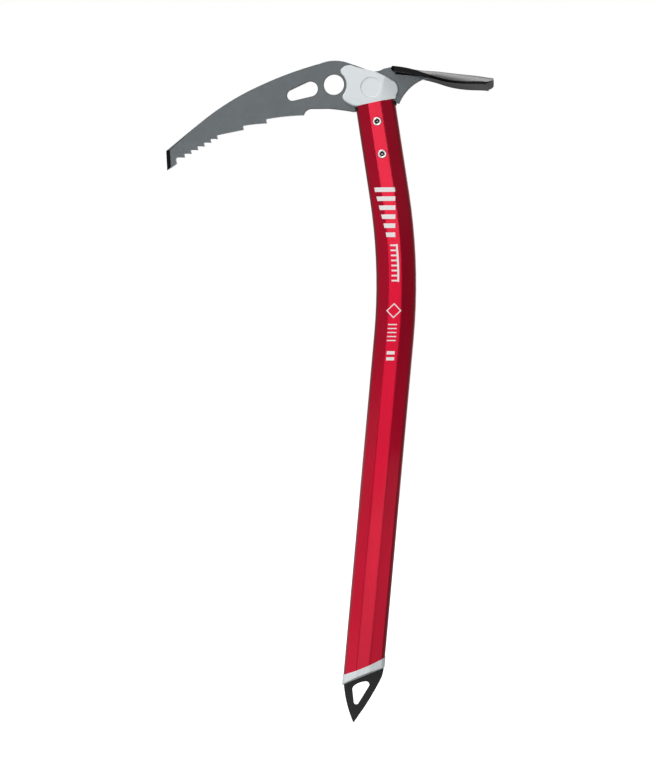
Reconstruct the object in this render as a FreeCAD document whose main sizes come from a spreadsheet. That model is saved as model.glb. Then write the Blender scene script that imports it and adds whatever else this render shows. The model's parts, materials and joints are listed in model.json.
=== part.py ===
import FreeCAD, Part
import math
import os

import Sketcher

# Ice axe, in millimetres, +Z up. The origin is the centre of the carabiner hole in the head.
# The pick points to -X, the adze to +X, and Y is the thickness of the head plate.
# "near" pieces lie on the -Y side and "far" pieces on the +Y side.

DIMENSIONS = {
    # Shaft: one aluminium tube, faceted oval in section, with a single bend.
    "shaft_width": 30.3,
    "shaft_depth": 20.0,
    "wall_thickness": 1.6,
    "facet_width": 10.0,
    "facet_slope": 25.4,
    "edge_radius": 10.0,
    "facet_corner_radius": 6.0,
    "upper_lean": 8.74,
    "lower_lean": 5.18,
    "bend_x": 50.5,
    "bend_z": -138.0,
    "bend_radius": 440.0,
    "upper_length": 126.0,
    "lower_length": 303.9,
    "end_cut_angle": 28.2,
    "end_cut_sag": 0.7,
    "mouth_left": -1.65,
    "mouth_right": -0.25,
    "slot_depth": 4.9,
    "slot_width": 10.0,
    "slot_half_length": 20.0,
    # Head: a steel plate whose tang goes down inside the shaft.
    "plate_thickness": 4.0,
    "carabiner_radius": 7.8,
    "slot_small_x": -31.7,
    "slot_small_z": -7.7,
    "slot_small_radius": 4.25,
    "slot_large_x": -18.0,
    "slot_large_z": -3.1,
    "slot_large_radius": 5.8,
    "tang_half_width": 13.2,
    "tang_end_half_width": 10.0,
    "tang_length": 50.0,
    "tip_bevel_length": 3.35,
    "tip_bevel_depth": 1.85,
    "top_bevel_length": 1.7,
    "top_bevel_depth": 1.4,
    "weld_radius": 1.9,
    "weld_offset": 1.8,
    "edge_break": 0.3,
    # Two semi-tubular rivets, on the shaft's centre line.
    "upper_rivet_depth": 15.7,
    "lower_rivet_depth": 40.6,
    "rivet_radius": 2.5,
    "rivet_flange_radius": 3.4,
    "rivet_bore_radius": 2.0,
    "rivet_bore_depth": 2.2,
    "hole_clearance": 0.05,
    # Plastic round the head.
    "cover_half_depth": 10.0,
    "cover_gap": 0.05,
    "notch_radius": 10.2,
    "recess_x": -1.0,
    "recess_z": 10.65,
    "recess_radius": 7.6,
    "recess_depth": 0.7,
    "stud_radius": 2.5,
    "stud_start": 3.0,
    "stud_length": 8.0,
    "socket_end": 1.0,
    "socket_length": 4.2,
    "cover_facet_lean": 16.4,
    "cheek_top": -1.75,
    "cheek_length": 46.3,
    "ear_bottom": -4.8,
    "ear_reach": 15.7,
    # Spike end.
    "ferrule_overhang": 0.4,
    "ferrule_drop": 7.3,
    "ferrule_edge_drop": 5.0,
    "plug_start": 2.0,
    "plug_length": 27.0,
    "spike_thickness": 4.0,
    "spike_tang_half_width": 8.0,
    "spike_tang_length": 22.0,
    "pin_radius": 2.0,
    "pin_length": 16.0,
    "pin_height": 15.0,
    "pin_clearance": 0.03,
    "tang_end_gap": 0.3,
    "fit_gap": 0.1,
}

doc = FreeCAD.newDocument("ice_axe")
sheet = doc.addObject("Spreadsheet::Sheet", "Dimensions")
for row, (alias, size) in enumerate(DIMENSIONS.items(), start=1):
    sheet.set("A%d" % row, alias.replace("_", " "))
    sheet.set("B%d" % row, str(size))
    sheet.setAlias("B%d" % row, alias)
doc.recompute()


def cell(alias):
    return float(sheet.get(alias))


def vector(x, z=0.0):
    return FreeCAD.Vector(x, z, 0)


# Sizes and cells. A size is a plain number, or a cell's alias with an optional minus sign.

def number(size):
    if isinstance(size, str):
        return -cell(size[1:]) if size.startswith("-") else cell(size)
    return size


def bind(target, name, size):
    """Set a length of an object, and drive it from the sheet where the size is a cell's alias."""
    if isinstance(size, str):
        sign = "-" if size.startswith("-") else ""
        target.setExpression(name, sign + "Dimensions." + size.lstrip("-"))
    else:
        setattr(target, name, size)


# Frames: a place on the shaft's centre line and the lean of its local Z.

def leaning_frame(x, z, lean):
    return FreeCAD.Placement(FreeCAD.Vector(x, 0, z), FreeCAD.Rotation(FreeCAD.Vector(0, 1, 0), lean))


def along(lean, length):
    """The X and Z travelled along an axis that leans by an angle from vertical towards +X."""
    angle = math.radians(lean)
    return length * math.sin(angle), length * math.cos(angle)


def mouth_height(x):
    """The height of the shaft's upper end, in its frame: the cut is not quite square to the shaft."""
    half = cell("shaft_width") / 2
    middle = (cell("mouth_left") + cell("mouth_right")) / 2
    return middle + x * (cell("mouth_right") - cell("mouth_left")) / (2 * half)


def shaft_end(lean, length):
    dx, dz = along(lean, length)
    return leaning_frame(cell("bend_x") + dx, cell("bend_z") + dz, lean)


HEAD_END = shaft_end(-cell("upper_lean"), cell("upper_length"))
SPIKE_END = shaft_end(cell("lower_lean"), -cell("lower_length"))
CENTRE = FreeCAD.Placement()


def in_frame(frame, x, z):
    """A point given in another frame's X and Z, as X and Z of the object."""
    place = frame.multVec(FreeCAD.Vector(x, 0, z))
    return place.x, place.z


def from_frame(frame, x, z):
    """An object's X and Z, as X and Z in another frame."""
    place = frame.inverse().multVec(FreeCAD.Vector(x, 0, z))
    return place.x, place.z


# Bodies, sketches and features.

def new_body(label, frame=CENTRE):
    body = doc.addObject("PartDesign::Body", label)
    body.Label = label
    body.Placement = frame
    return body


def new_sketch(body, name, role, offset=0.0, rotation=FreeCAD.Rotation()):
    """A sketch on one of the body's origin planes, moved along its normal and turned."""
    sketch = body.newObject("Sketcher::SketchObject", name)
    plane = next(part for part in body.Origin.OriginFeatures if part.Role == role)
    sketch.AttachmentSupport = [(plane, "")]
    sketch.MapMode = "FlatFace"
    sketch.AttachmentOffset = FreeCAD.Placement(FreeCAD.Vector(0, 0, number(offset)), rotation)
    return sketch


def pin(sketch, element, point, place):
    """Hold a point of a sketch at the coordinates that come from the sheet."""
    for kind, size in zip(("DistanceX", "DistanceY"), place):
        if isinstance(size, str):
            index = sketch.addConstraint(Sketcher.Constraint(kind, -1, 1, element, point, number(size)))
            bind(sketch, "Constraints[%d]" % index, size)


def outline(sketch, start, steps, closed=True):
    """Draw a chain of lines, arcs and curves. A step is its points: the last one is where it ends."""
    here = start
    joints = []
    for step in steps:
        points = [vector(number(x), number(z)) for x, z in [here] + step]
        if len(points) == 2:
            curve = Part.LineSegment(*points)
        elif len(points) == 3:
            curve = Part.Arc(*points)
        else:
            curve = Part.BSplineCurve()
            curve.interpolate(points)
        element = sketch.addGeometry(curve, False)
        # A clockwise arc is stored the other way round, so its first point is its end.
        forward = sketch.getPoint(element, 1).distanceToPoint(points[0]) < 1e-6
        joints.append((element, 1, 2) if forward else (element, 2, 1))
        if len(points) == 2:
            pin(sketch, element, 2, step[-1])
        here = step[-1]
    following = joints[1:] + joints[:1] if closed else joints[1:]
    for (element, _, end), (after, begin, _) in zip(joints, following):
        sketch.addConstraint(Sketcher.Constraint("Coincident", element, end, after, begin))


def polygon(sketch, corners):
    outline(sketch, corners[0], [[corner] for corner in corners[1:] + corners[:1]])


def circle(sketch, place, radius):
    centre = vector(number(place[0]), number(place[1]))
    element = sketch.addGeometry(Part.Circle(centre, FreeCAD.Vector(0, 0, 1), number(radius)), False)
    pin(sketch, element, 3, place)
    index = sketch.addConstraint(Sketcher.Constraint("Radius", element, number(radius)))
    if isinstance(radius, str):
        bind(sketch, "Constraints[%d]" % index, radius)


def extrude(body, kind, sketch, length, sides="One side", reverse=False):
    feature = body.newObject("PartDesign::" + kind, sketch.Name + "_" + kind.lower())
    feature.Profile = sketch
    feature.SideType = sides
    bind(feature, "Length", length)
    feature.Reversed = reverse
    sketch.Visibility = False
    doc.recompute()
    return feature


THROUGH_ALL = 400.0


def cut_through(body, sketch):
    """Pocket a sketch right through the body both ways, and stop if nothing was cut."""
    before = body.Shape.Volume
    feature = extrude(body, "Pocket", sketch, THROUGH_ALL, "Symmetric")
    if body.Shape.Volume > before - 0.01:
        raise RuntimeError(sketch.Name + " cuts nothing")
    return feature


def edge_names(shape, wanted):
    return ["Edge%d" % (index + 1) for index, edge in enumerate(shape.Edges) if wanted(edge)]


# The faceted oval of the shaft. An inset draws the same section inside the outer one.

def section_corners(inset):
    """Half-section: the facet's end, the edge arc's start and its crown, for an inset in millimetres."""
    slope = math.radians(cell("facet_slope"))
    radius = cell("edge_radius") - inset
    arc_centre = cell("shaft_width") / 2 - cell("edge_radius")
    facet_x = cell("facet_width") / 2 - inset * math.tan(slope / 2)
    facet_y = cell("shaft_depth") / 2 - inset
    offset_x = facet_x - arc_centre
    along_x = offset_x * math.cos(slope) - facet_y * math.sin(slope)
    reach = -along_x + math.sqrt(along_x ** 2 - offset_x ** 2 - facet_y ** 2 + radius ** 2)
    shoulder_x = facet_x + reach * math.cos(slope)
    shoulder_y = facet_y - reach * math.sin(slope)
    return (facet_x, facet_y), (shoulder_x, shoulder_y), (arc_centre + radius, 0.0)


def draw_section(sketch, inset, corner_radius=0.0):
    """The whole section, with its four facet corners sharp or rounded."""
    (fx, fy), (sx, sy), (crown_x, _) = section_corners(inset)
    slope = math.radians(cell("facet_slope"))
    trim = corner_radius * math.tan(slope / 2)
    flat_x = fx - trim
    slope_x, slope_y = fx + trim * math.cos(slope), fy - trim * math.sin(slope)
    middle_x = flat_x + corner_radius * math.sin(slope / 2)
    middle_y = fy - corner_radius * (1 - math.cos(slope / 2))
    # Half of the way round: down the +X side, then back along the -Y flat.
    half = [[(sx, sy)], [(crown_x, 0.0), (sx, -sy)], [(slope_x, -slope_y)]]
    if corner_radius:
        half += [[(middle_x, -middle_y), (flat_x, -fy)], [(-flat_x, -fy)]]
        half += [[(-middle_x, -middle_y), (-slope_x, -slope_y)]]
    else:
        half += [[(-fx, -fy)]]
    steps = [[(sign * x, sign * y) for x, y in step] for sign in (1, -1) for step in half]
    outline(sketch, (slope_x, slope_y), steps)


RIVET_DEPTHS = ("upper_rivet_depth", "lower_rivet_depth")
RIVET_HOLE = cell("rivet_radius") + cell("hole_clearance")


def rivet_holes(body):
    sketch = new_sketch(body, body.Name + "_rivet_holes", "XZ_Plane")
    for depth in RIVET_DEPTHS:
        circle(sketch, (0.0, "-" + depth), RIVET_HOLE)
    cut_through(body, sketch)


# The oblique cut at the spike end sags a little in the middle. The ferrule's top follows it.
END_CUT_REACH = 16.0


def beside_end_cut(sketch, far_z):
    """Everything between the oblique cut and a height well above or below it."""
    rise = math.tan(math.radians(cell("end_cut_angle"))) * END_CUT_REACH
    cut = [(0.0, -cell("end_cut_sag")), (END_CUT_REACH, rise)]
    start = (-END_CUT_REACH, -rise)
    outline(sketch, start, [cut, [(END_CUT_REACH, far_z)], [(-END_CUT_REACH, far_z)], [start]])


# Shaft tube, in the frame of its spike end: straight, bent, straight, then cut off obliquely.

def make_shaft_tube():
    body = new_body("shaft_tube", SPIKE_END)
    turn = math.radians(cell("upper_lean") + cell("lower_lean"))
    tangent = cell("bend_radius") * math.tan(turn / 2)
    spare = -20.0  # The tube starts below its end, so that the oblique cut has all of its section.
    bend_start = (0.0, cell("lower_length") - tangent)
    centre_x = -cell("bend_radius")

    def on_bend(angle):
        return (centre_x + cell("bend_radius") * math.cos(angle),
                bend_start[1] + cell("bend_radius") * math.sin(angle))

    def head_end(x, z):
        return from_frame(SPIKE_END, *in_frame(HEAD_END, x, z))

    path = new_sketch(body, "shaft_path", "XZ_Plane")
    steps = [[bend_start], [on_bend(turn / 2), on_bend(turn)], [head_end(0.0, 0.0)]]
    outline(path, (0.0, spare), steps, closed=False)
    profile = new_sketch(body, "shaft_section", "XY_Plane", spare)
    draw_section(profile, 0.0, cell("facet_corner_radius"))
    draw_section(profile, cell("wall_thickness"))
    doc.recompute()
    tube = body.newObject("PartDesign::AdditivePipe", "shaft_extrusion")
    tube.Profile = profile
    tube.Spine = (path, ["Edge1", "Edge2", "Edge3"])
    doc.recompute()

    trim = new_sketch(body, "spike_end_cut", "XZ_Plane")
    beside_end_cut(trim, -60.0)
    cut_through(body, trim)
    mouth = new_sketch(body, "head_end_cut", "XZ_Plane")
    reach = cell("slot_half_length")
    corners = [(-reach, mouth_height(-reach)), (reach, mouth_height(reach)), (reach, 5.0), (-reach, 5.0)]
    polygon(mouth, [head_end(x, z) for x, z in corners])
    cut_through(body, mouth)

    slot = new_sketch(body, "head_slot", "XZ_Plane")
    bottom = -cell("slot_depth")
    corners = [(-reach, bottom), (reach, bottom), (reach, 5.0), (-reach, 5.0)]
    polygon(slot, [head_end(x, z) for x, z in corners])
    extrude(body, "Pocket", slot, "slot_width", "Symmetric")
    holes = new_sketch(body, "shaft_rivet_holes", "XZ_Plane")
    for depth in RIVET_DEPTHS:
        circle(holes, head_end(0.0, -cell(depth)), RIVET_HOLE)
    cut_through(body, holes)
    return body


# Adze: a formed steel blade. An arched sheet is lofted along X, then trimmed to its plan.
# Each station is its X, the blade's half-width, the heights of its crest and of its rim, and its thickness.
ADZE_STATIONS = [
    (41.0, 11.2, 13.6, 13.35, 4.1),
    (50.0, 11.5, 12.45, 12.1, 4.1),
    (59.0, 11.7, 10.95, 10.3, 4.0),
    (68.0, 12.0, 9.85, 7.4, 3.3),
    (77.0, 13.8, 9.2, 4.3, 2.4),
    (86.0, 17.3, 8.1, 1.5, 2.1),
    (95.0, 20.2, 6.9, -0.2, 2.1),
    (104.0, 22.1, 5.85, -0.85, 2.1),
    (113.0, 23.2, 4.55, -1.2, 2.1),
    (122.0, 23.8, 3.3, -1.5, 2.1),
]
TRIM_MARGIN = 2.6
ROOT_STEPS = [[(43.8, -9.8), (48.0, -11.4)], [(60.0, -11.7)]]
SIDE_CURVE = [(66.0, -11.9), (72.0, -12.6), (78.0, -14.2), (85.0, -17.1), (93.0, -19.7), (102.0, -21.8),
              (110.0, -22.9), (114.6, -23.2)]
CORNER_CURVE = [(118.7, -22.3), (120.4, -19.4)]
CUTTING_EDGE_X = 121.0
# The underside is ground up to the cutting edge: where the bevel starts, and its depth at the edge.
GRIND_START_X = 116.6
GRIND_DEPTH = 1.35
ROOT_START = (42.0, -5.5)
# The sheet's root end is rounded from top to bottom: where the rounding starts, and its two heights.
ROOT_ROUNDING = (46.3, 13.0, 8.7)


def arch_points(half_width, crest, rim, drop, direction):
    """Points along a circular arch from one side of the sheet to the other, lowered by a drop."""
    fall = crest - rim
    radius = (half_width ** 2 + fall ** 2) / (2 * fall)
    reach = half_width + TRIM_MARGIN
    points = []
    for share in (-1.0, -0.75, -0.5, -0.25, 0.0, 0.25, 0.5, 0.75, 1.0):
        y = direction * share * reach
        points.append((y, crest - drop - radius + math.sqrt(radius ** 2 - y ** 2)))
    return points


def draw_sheet(sketch, half_width, crest, rim, thick):
    """A section across the adze: an arch above, and the same arch lower down."""
    below = arch_points(half_width, crest, rim, thick, 1)
    above = arch_points(half_width, crest, rim, 0.0, -1)
    outline(sketch, above[-1], [[below[0]], below[1:], [above[0]], above[1:]])


def draw_grind(sketch, half_width, crest, rim, drop, bottom):
    """What the grinder takes away: from an arch down to a flat bottom."""
    arch = arch_points(half_width, crest, rim, drop, -1)
    reach = arch[0][0]
    outline(sketch, arch[-1], [[(-reach, bottom)], [(reach, bottom)], [arch[0]], arch[1:]])


def mirrored(start, steps):
    """The same chain of steps on the +Y side, drawn back towards its start."""
    ends = [start] + [step[-1] for step in steps]
    back = []
    for step, before in zip(reversed(steps), reversed(ends[:-1])):
        back.append([(x, -y) for x, y in step[-2::-1] + [before]])
    return back


def make_adze():
    body = new_body("adze_blade")
    sections = []
    for index, (x, half_width, crest, rim, thick) in enumerate(ADZE_STATIONS):
        sketch = new_sketch(body, "adze_section_%d" % index, "YZ_Plane", x)
        draw_sheet(sketch, half_width, crest, rim, thick)
        sections.append(sketch)
    doc.recompute()
    loft = body.newObject("PartDesign::AdditiveLoft", "adze_loft")
    loft.Profile = sections[0]
    loft.Sections = sections[1:]
    doc.recompute()

    grind = []
    end_x, half_width, crest, rim, thick = ADZE_STATIONS[-1]
    fall_rate = (ADZE_STATIONS[-2][2] - crest) / (end_x - ADZE_STATIONS[-2][0])
    end_depth = GRIND_DEPTH * (end_x - GRIND_START_X) / (CUTTING_EDGE_X - GRIND_START_X)
    for x, depth in ((GRIND_START_X, 0.0), (end_x, end_depth)):
        sketch = new_sketch(body, "adze_grind_%d" % len(grind), "YZ_Plane", x)
        drop = thick - depth - (end_x - x) * fall_rate
        draw_grind(sketch, half_width, crest, rim, drop, -20.0)
        grind.append(sketch)
    doc.recompute()
    bevel = body.newObject("PartDesign::SubtractiveLoft", "cutting_edge_bevel")
    bevel.Profile = grind[0]
    bevel.Sections = grind[1:]
    bevel.Ruled = True
    doc.recompute()

    plan = new_sketch(body, "adze_plan", "XY_Plane")
    polygon(plan, [(30.0, -40.0), (140.0, -40.0), (140.0, 40.0), (30.0, 40.0)])
    near_side = ROOT_STEPS + [SIDE_CURVE, CORNER_CURVE]
    corner_x, corner_y = CORNER_CURVE[-1]
    cutting_edge = [(CUTTING_EDGE_X, 0.0), (corner_x, -corner_y)]
    outline(plan, ROOT_START, near_side + [cutting_edge] + mirrored(ROOT_START, near_side) + [[ROOT_START]])
    cut_through(body, plan)

    root = new_sketch(body, "rounded_root", "XZ_Plane")
    x, top, bottom = ROOT_ROUNDING
    middle = (top + bottom) / 2
    rounding = [(x - (top - bottom) / 2, middle), (x, bottom)]
    outline(root, (x, top), [rounding, [(x, 0.0)], [(30.0, 0.0)], [(30.0, 25.0)], [(x, 25.0)], [(x, top)]])
    cut_through(body, root)
    return body


# Head plate: pick, head, neck and tang in one outline.
FINE_TEETH = 6
FIRST_TOOTH = (-114.7, -54.35)
FINE_PITCH = (5.07, 2.79)
FINE_HEIGHT = 3.05
FINE_GULLET = 0.6
FINE_HOLLOW = 0.12
COARSE_GULLET = 0.8
PICK_TIP_LOW = (-128.4, -64.1)
PICK_TIP_HIGH = (-129.2, -49.2)
BEAK_TOOTH = (-120.95, -58.95)
BEAK_HEIGHT = 4.8
BEAK_GULLET = 1.4
# Coarse teeth: the point, the height of its steep face, and how far its back is hollowed.
COARSE_TEETH = [((-69.4, -33.5), 3.15, 0.0), ((-51.5, -28.8), 3.35, 0.3)]
LAST_TOOTH = (-23.0, -22.9)
LAST_HOLLOW = 0.55
FACE_LEAN = 0.2
# The pick's toothed side lies below this line.
ABOVE_TEETH = ((-120.0, -46.0), (-21.5, -12.5))
TANG_TAPER_START = -20.0
# Where the plate's outline meets the shaft, on each side of the shaft's centre line.
SHOULDER_LEFT = -17.2
SHOULDER_RIGHT = 16.6
SHOULDER_RIGHT_Z = -3.75
# The bevel along the top of the pick runs out where this line leaves the edge.
TOP_BEVEL_END = (-109.0, -31.1)


def back_of_tooth(start, point, hollow):
    """From a gullet to the next point: a line, or an arc that is hollowed in the middle."""
    if not hollow:
        return [[point]]
    middle = ((start[0] + point[0]) / 2, (start[1] + point[1]) / 2 + hollow)
    return [[middle, point]]


def tooth_steps(start, point, height, gullet, hollow):
    """A tooth seen from the tip: along its back to its point, up its steep face, round its gullet."""
    lean = math.atan(FACE_LEAN)
    turn = math.pi / 2 + lean
    rise = height - gullet * (1 + math.sin(lean))
    foot_x, foot_z = point[0] - FACE_LEAN * rise, point[1] + rise
    centre_x, centre_z = foot_x + gullet * math.cos(lean), foot_z + gullet * math.sin(lean)
    middle = (centre_x - gullet * math.sin(turn / 2), centre_z + gullet * math.cos(turn / 2))
    rounding = [middle, (centre_x, centre_z + gullet)]
    return back_of_tooth(start, point, hollow) + [[(foot_x, foot_z)], rounding]


def make_head_blank():
    body = new_body("head_plate_blank")
    sketch = new_sketch(body, "head_outline", "XZ_Plane")
    steps = [[PICK_TIP_LOW]]
    steps += tooth_steps(PICK_TIP_LOW, BEAK_TOOTH, BEAK_HEIGHT, BEAK_GULLET, 0.0)
    for index in range(FINE_TEETH):
        point = (FIRST_TOOTH[0] + index * FINE_PITCH[0], FIRST_TOOTH[1] + index * FINE_PITCH[1])
        steps += tooth_steps(steps[-1][-1], point, FINE_HEIGHT, FINE_GULLET, FINE_HOLLOW)
    for point, height, hollow in COARSE_TEETH:
        steps += tooth_steps(steps[-1][-1], point, height, COARSE_GULLET, hollow)
    steps += back_of_tooth(steps[-1][-1], LAST_TOOTH, LAST_HOLLOW)
    shoulder = -cell("slot_depth")
    left = in_frame(HEAD_END, SHOULDER_LEFT, shoulder)
    steps += [[(-20.93, -19.52), (-17.2, -18.2)], [(-4.2, -18.2)], [(5.5, -19.3), left]]
    wide, narrow, foot = cell("tang_half_width"), cell("tang_end_half_width"), -cell("tang_length")
    tang = [(-wide, shoulder), (-wide, TANG_TAPER_START), (-narrow, foot), (narrow, foot),
            (wide, TANG_TAPER_START), (wide, SHOULDER_RIGHT_Z), (SHOULDER_RIGHT, SHOULDER_RIGHT_Z)]
    steps += [[in_frame(HEAD_END, x, z)] for x, z in tang]
    steps += [[(49.6, -15.0)], [(57.0, -3.9), (70.2, 4.2)], [(71.6, 7.8)], [(47.0, 10.6)], [(45.2, 12.2)],
              [(43.0, 12.7)]]
    steps += [[(38.0, 11.6)], [(31.5, 9.6), (24.0, 11.6)], [(11.6, 16.1)], [(1.0, 18.15), (-10.3, 16.1)],
              [(-33.3, 9.1), (-56.4, -0.1)], [(-80.0, -12.3), (-102.7, -28.2)]]
    steps += [[PICK_TIP_HIGH]]
    outline(sketch, PICK_TIP_HIGH, steps)
    extrude(body, "Pad", sketch, "plate_thickness", "Symmetric")

    holes = new_sketch(body, "head_holes", "XZ_Plane")
    circle(holes, (0.0, 0.0), "carabiner_radius")
    for depth in RIVET_DEPTHS:
        circle(holes, in_frame(HEAD_END, 0.0, -cell(depth)), RIVET_HOLE)
    stud_place = in_frame(HEAD_END, cell("recess_x"), cell("recess_z"))
    circle(holes, stud_place, cell("stud_radius") + 2 * cell("hole_clearance"))
    cut_through(body, holes)
    slot = new_sketch(body, "pick_slot", "XZ_Plane")
    draw_tapered_slot(slot)
    cut_through(body, slot)
    break_edges(body, "plate_edge_breaks", is_on_plate_face)
    bevel_plate(body, "tip_bevel", PICK_TIP_LOW, PICK_TIP_HIGH)
    bevel_plate(body, "top_bevel", PICK_TIP_HIGH, TOP_BEVEL_END)
    return body


def is_on_plate_face(edge):
    """True for the outline's edges on the plate's faces, but not on the crown or the toothed side."""
    box = edge.BoundBox
    on_face = abs(abs(box.Center.y) - cell("plate_thickness") / 2) < 0.01 and box.YLength < 0.01
    on_crown = box.ZMin > 11.5 and box.XMin > -11.0
    (x1, z1), (x2, z2) = ABOVE_TEETH
    line_z = z1 + (box.Center.x - x1) * (z2 - z1) / (x2 - x1)
    on_teeth = box.Center.x < x2 and box.Center.z < line_z
    return on_face and not on_crown and not on_teeth


def break_edges(body, name, wanted):
    """A small bevel along every wanted edge."""
    solid = body.Tip
    names = edge_names(solid.Shape, wanted)
    chamfer = body.newObject("PartDesign::Chamfer", name)
    chamfer.Base = (solid, names)
    bind(chamfer, "Size", "edge_break")
    doc.recompute()


def bevel_plate(body, name, start, end):
    """Grind both faces of the plate down towards a line. The plate is on the right of the line."""
    dx = end[0] - start[0]
    dz = end[1] - start[1]
    lean = math.atan2(dx, dz)
    front = start[0] * math.cos(lean) - start[1] * math.sin(lean)
    back = front + cell(name + "_length")
    face = cell("plate_thickness") / 2
    thin = face - cell(name + "_depth")
    rotation = FreeCAD.Rotation(FreeCAD.Vector(0, 1, 0), math.degrees(lean))
    sketch = new_sketch(body, name, "XY_Plane", rotation=rotation)
    ahead = front - 3.0
    outside = face + 1.0
    for sign in (-1, 1):
        corners = [(front, thin), (back, face), (back, outside), (ahead, outside), (ahead, thin)]
        polygon(sketch, [(x, sign * y) for x, y in corners])
    cut_through(body, sketch)


def draw_tapered_slot(sketch):
    """Two round ends of different radii joined by their common tangents."""
    x1, z1, r1 = cell("slot_small_x"), cell("slot_small_z"), cell("slot_small_radius")
    x2, z2, r2 = cell("slot_large_x"), cell("slot_large_z"), cell("slot_large_radius")
    axis = math.atan2(z2 - z1, x2 - x1)
    swing = math.acos((r1 - r2) / math.hypot(x2 - x1, z2 - z1))

    def on_circle(x, z, radius, angle):
        return x + radius * math.cos(angle), z + radius * math.sin(angle)

    steps = [
        [on_circle(x2, z2, r2, axis + swing)],
        [on_circle(x2, z2, r2, axis), on_circle(x2, z2, r2, axis - swing)],
        [on_circle(x1, z1, r1, axis - swing)],
        [on_circle(x1, z1, r1, axis + math.pi), on_circle(x1, z1, r1, axis + swing)],
    ]
    outline(sketch, on_circle(x1, z1, r1, axis + swing), steps)


def make_head_plate(adze):
    blank = make_head_blank()
    plate = doc.addObject("Part::Cut", "head_plate")
    plate.Label = "head_plate"
    plate.Base = blank
    plate.Tool = adze
    doc.recompute()
    return plate


WELD_START = (47.0, 9.1)
WELD_END = (69.0, 7.1)
# A box that holds both beads: its lowest X and Z, and its length, width and height.
WELD_BOX_CORNER = (40.0, -2.0)
WELD_BOX_SIZE = (40.0, 8.0, 20.0)


def make_welds(adze):
    """A fillet weld on each side, where the neck meets the underside of the adze."""
    welds = []
    run = FreeCAD.Vector(WELD_END[0] - WELD_START[0], 0, WELD_END[1] - WELD_START[1])
    for side, sign in (("near", -1), ("far", 1)):
        bead = doc.addObject("Part::Cylinder", "weld_bead_" + side)
        bind(bead, "Radius", "weld_radius")
        bead.Height = run.Length
        start = FreeCAD.Vector(WELD_START[0], sign * cell("weld_offset"), WELD_START[1])
        bead.Placement = FreeCAD.Placement(start, FreeCAD.Rotation(FreeCAD.Vector(0, 0, 1), run))
        under_adze = doc.addObject("Part::Cut", "weld_under_adze_" + side)
        under_adze.Base = bead
        under_adze.Tool = adze
        # Everything from this face of the plate to beyond its other face.
        plate_side = doc.addObject("Part::Box", "weld_plate_side_" + side)
        plate_side.Length, plate_side.Width, plate_side.Height = WELD_BOX_SIZE
        face = cell("plate_thickness") / 2
        low_y = -face if sign < 0 else face - WELD_BOX_SIZE[1]
        plate_side.Placement.Base = FreeCAD.Vector(WELD_BOX_CORNER[0], low_y, WELD_BOX_CORNER[1])
        weld = doc.addObject("Part::Cut", "adze_weld_" + side)
        weld.Label = "adze_weld_" + side
        weld.Base = under_adze
        weld.Tool = plate_side
        doc.recompute()
        welds.append(weld)
    return welds


# Head cover: two moulded halves on the plate, above the end of the shaft.

# How far the covers reach to each side, where they meet the end of the shaft.
COVER_MOUTH = (-14.4, 16.1)


def make_cover(side):
    near = side == "near"
    body = new_body("head_cover_" + side, HEAD_END)
    inner = cell("plate_thickness") / 2 + cell("cover_gap")
    thick = cell("cover_half_depth") - inner
    sketch = new_sketch(body, body.Name + "_outline", "XZ_Plane", inner if near else -inner)
    hole_x, hole_z = from_frame(HEAD_END, 0.0, 0.0)
    notch = cell("notch_radius")
    mouth_start = (COVER_MOUTH[0], mouth_height(COVER_MOUTH[0]))
    steps = [
        [(COVER_MOUTH[1], mouth_height(COVER_MOUTH[1]))],
        [(16.8, 2.7)],
        [(18.6, 8.2), (16.8, 12.4)],
        [(10.4, 17.7), (3.2, 22.1), (-4.2, 25.3), (-12.4, 29.1)],
        [(-16.6, 29.9), (-20.0, 28.6)],
        [(-21.7, 26.6), (-21.35, 24.2)],
        [(hole_x + notch, hole_z), (-21.6, 9.5)],
        [(-23.2, 6.8), (-22.4, 4.1)],
        [(-19.9, 1.6), (-16.8, -0.5)],
        [mouth_start],
    ]
    outline(sketch, mouth_start, steps)
    extrude(body, "Pad", sketch, thick, reverse=not near)

    # The shaft's facet goes on across the +X side of the cover, and narrows as it leans over.
    facet_x, facet_y = section_corners(0.0)[0]
    beyond_x = 25.0
    beyond_y = facet_y + 4.0
    fall = (beyond_x - facet_x) * math.tan(math.radians(cell("facet_slope")))
    sign = -1 if near else 1
    lean = FreeCAD.Rotation(FreeCAD.Vector(0, 1, 0), cell("cover_facet_lean"))
    facet = new_sketch(body, body.Name + "_facet", "XY_Plane", rotation=lean)
    corners = [(facet_x, facet_y), (beyond_x, facet_y - fall), (beyond_x, beyond_y), (facet_x, beyond_y)]
    polygon(facet, [(x, sign * y) for x, y in corners])
    cut_through(body, facet)
    recess = new_sketch(body, body.Name + "_recess", "XZ_Plane", sign * -1 * cell("cover_half_depth"))
    circle(recess, ("recess_x", "recess_z"), "recess_radius")
    extrude(body, "Pocket", recess, "recess_depth", reverse=not near)
    if near:
        stud = new_sketch(body, "cover_stud", "XZ_Plane", "stud_start")
        circle(stud, ("recess_x", "recess_z"), "stud_radius")
        extrude(body, "Pad", stud, "stud_length", reverse=True)
    else:
        socket = new_sketch(body, "cover_socket", "XZ_Plane", "-socket_end")
        circle(socket, ("recess_x", "recess_z"), cell("stud_radius") + cell("hole_clearance"))
        extrude(body, "Pocket", socket, "socket_length")
    return body


EAR_ROOT = 11.0


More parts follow.
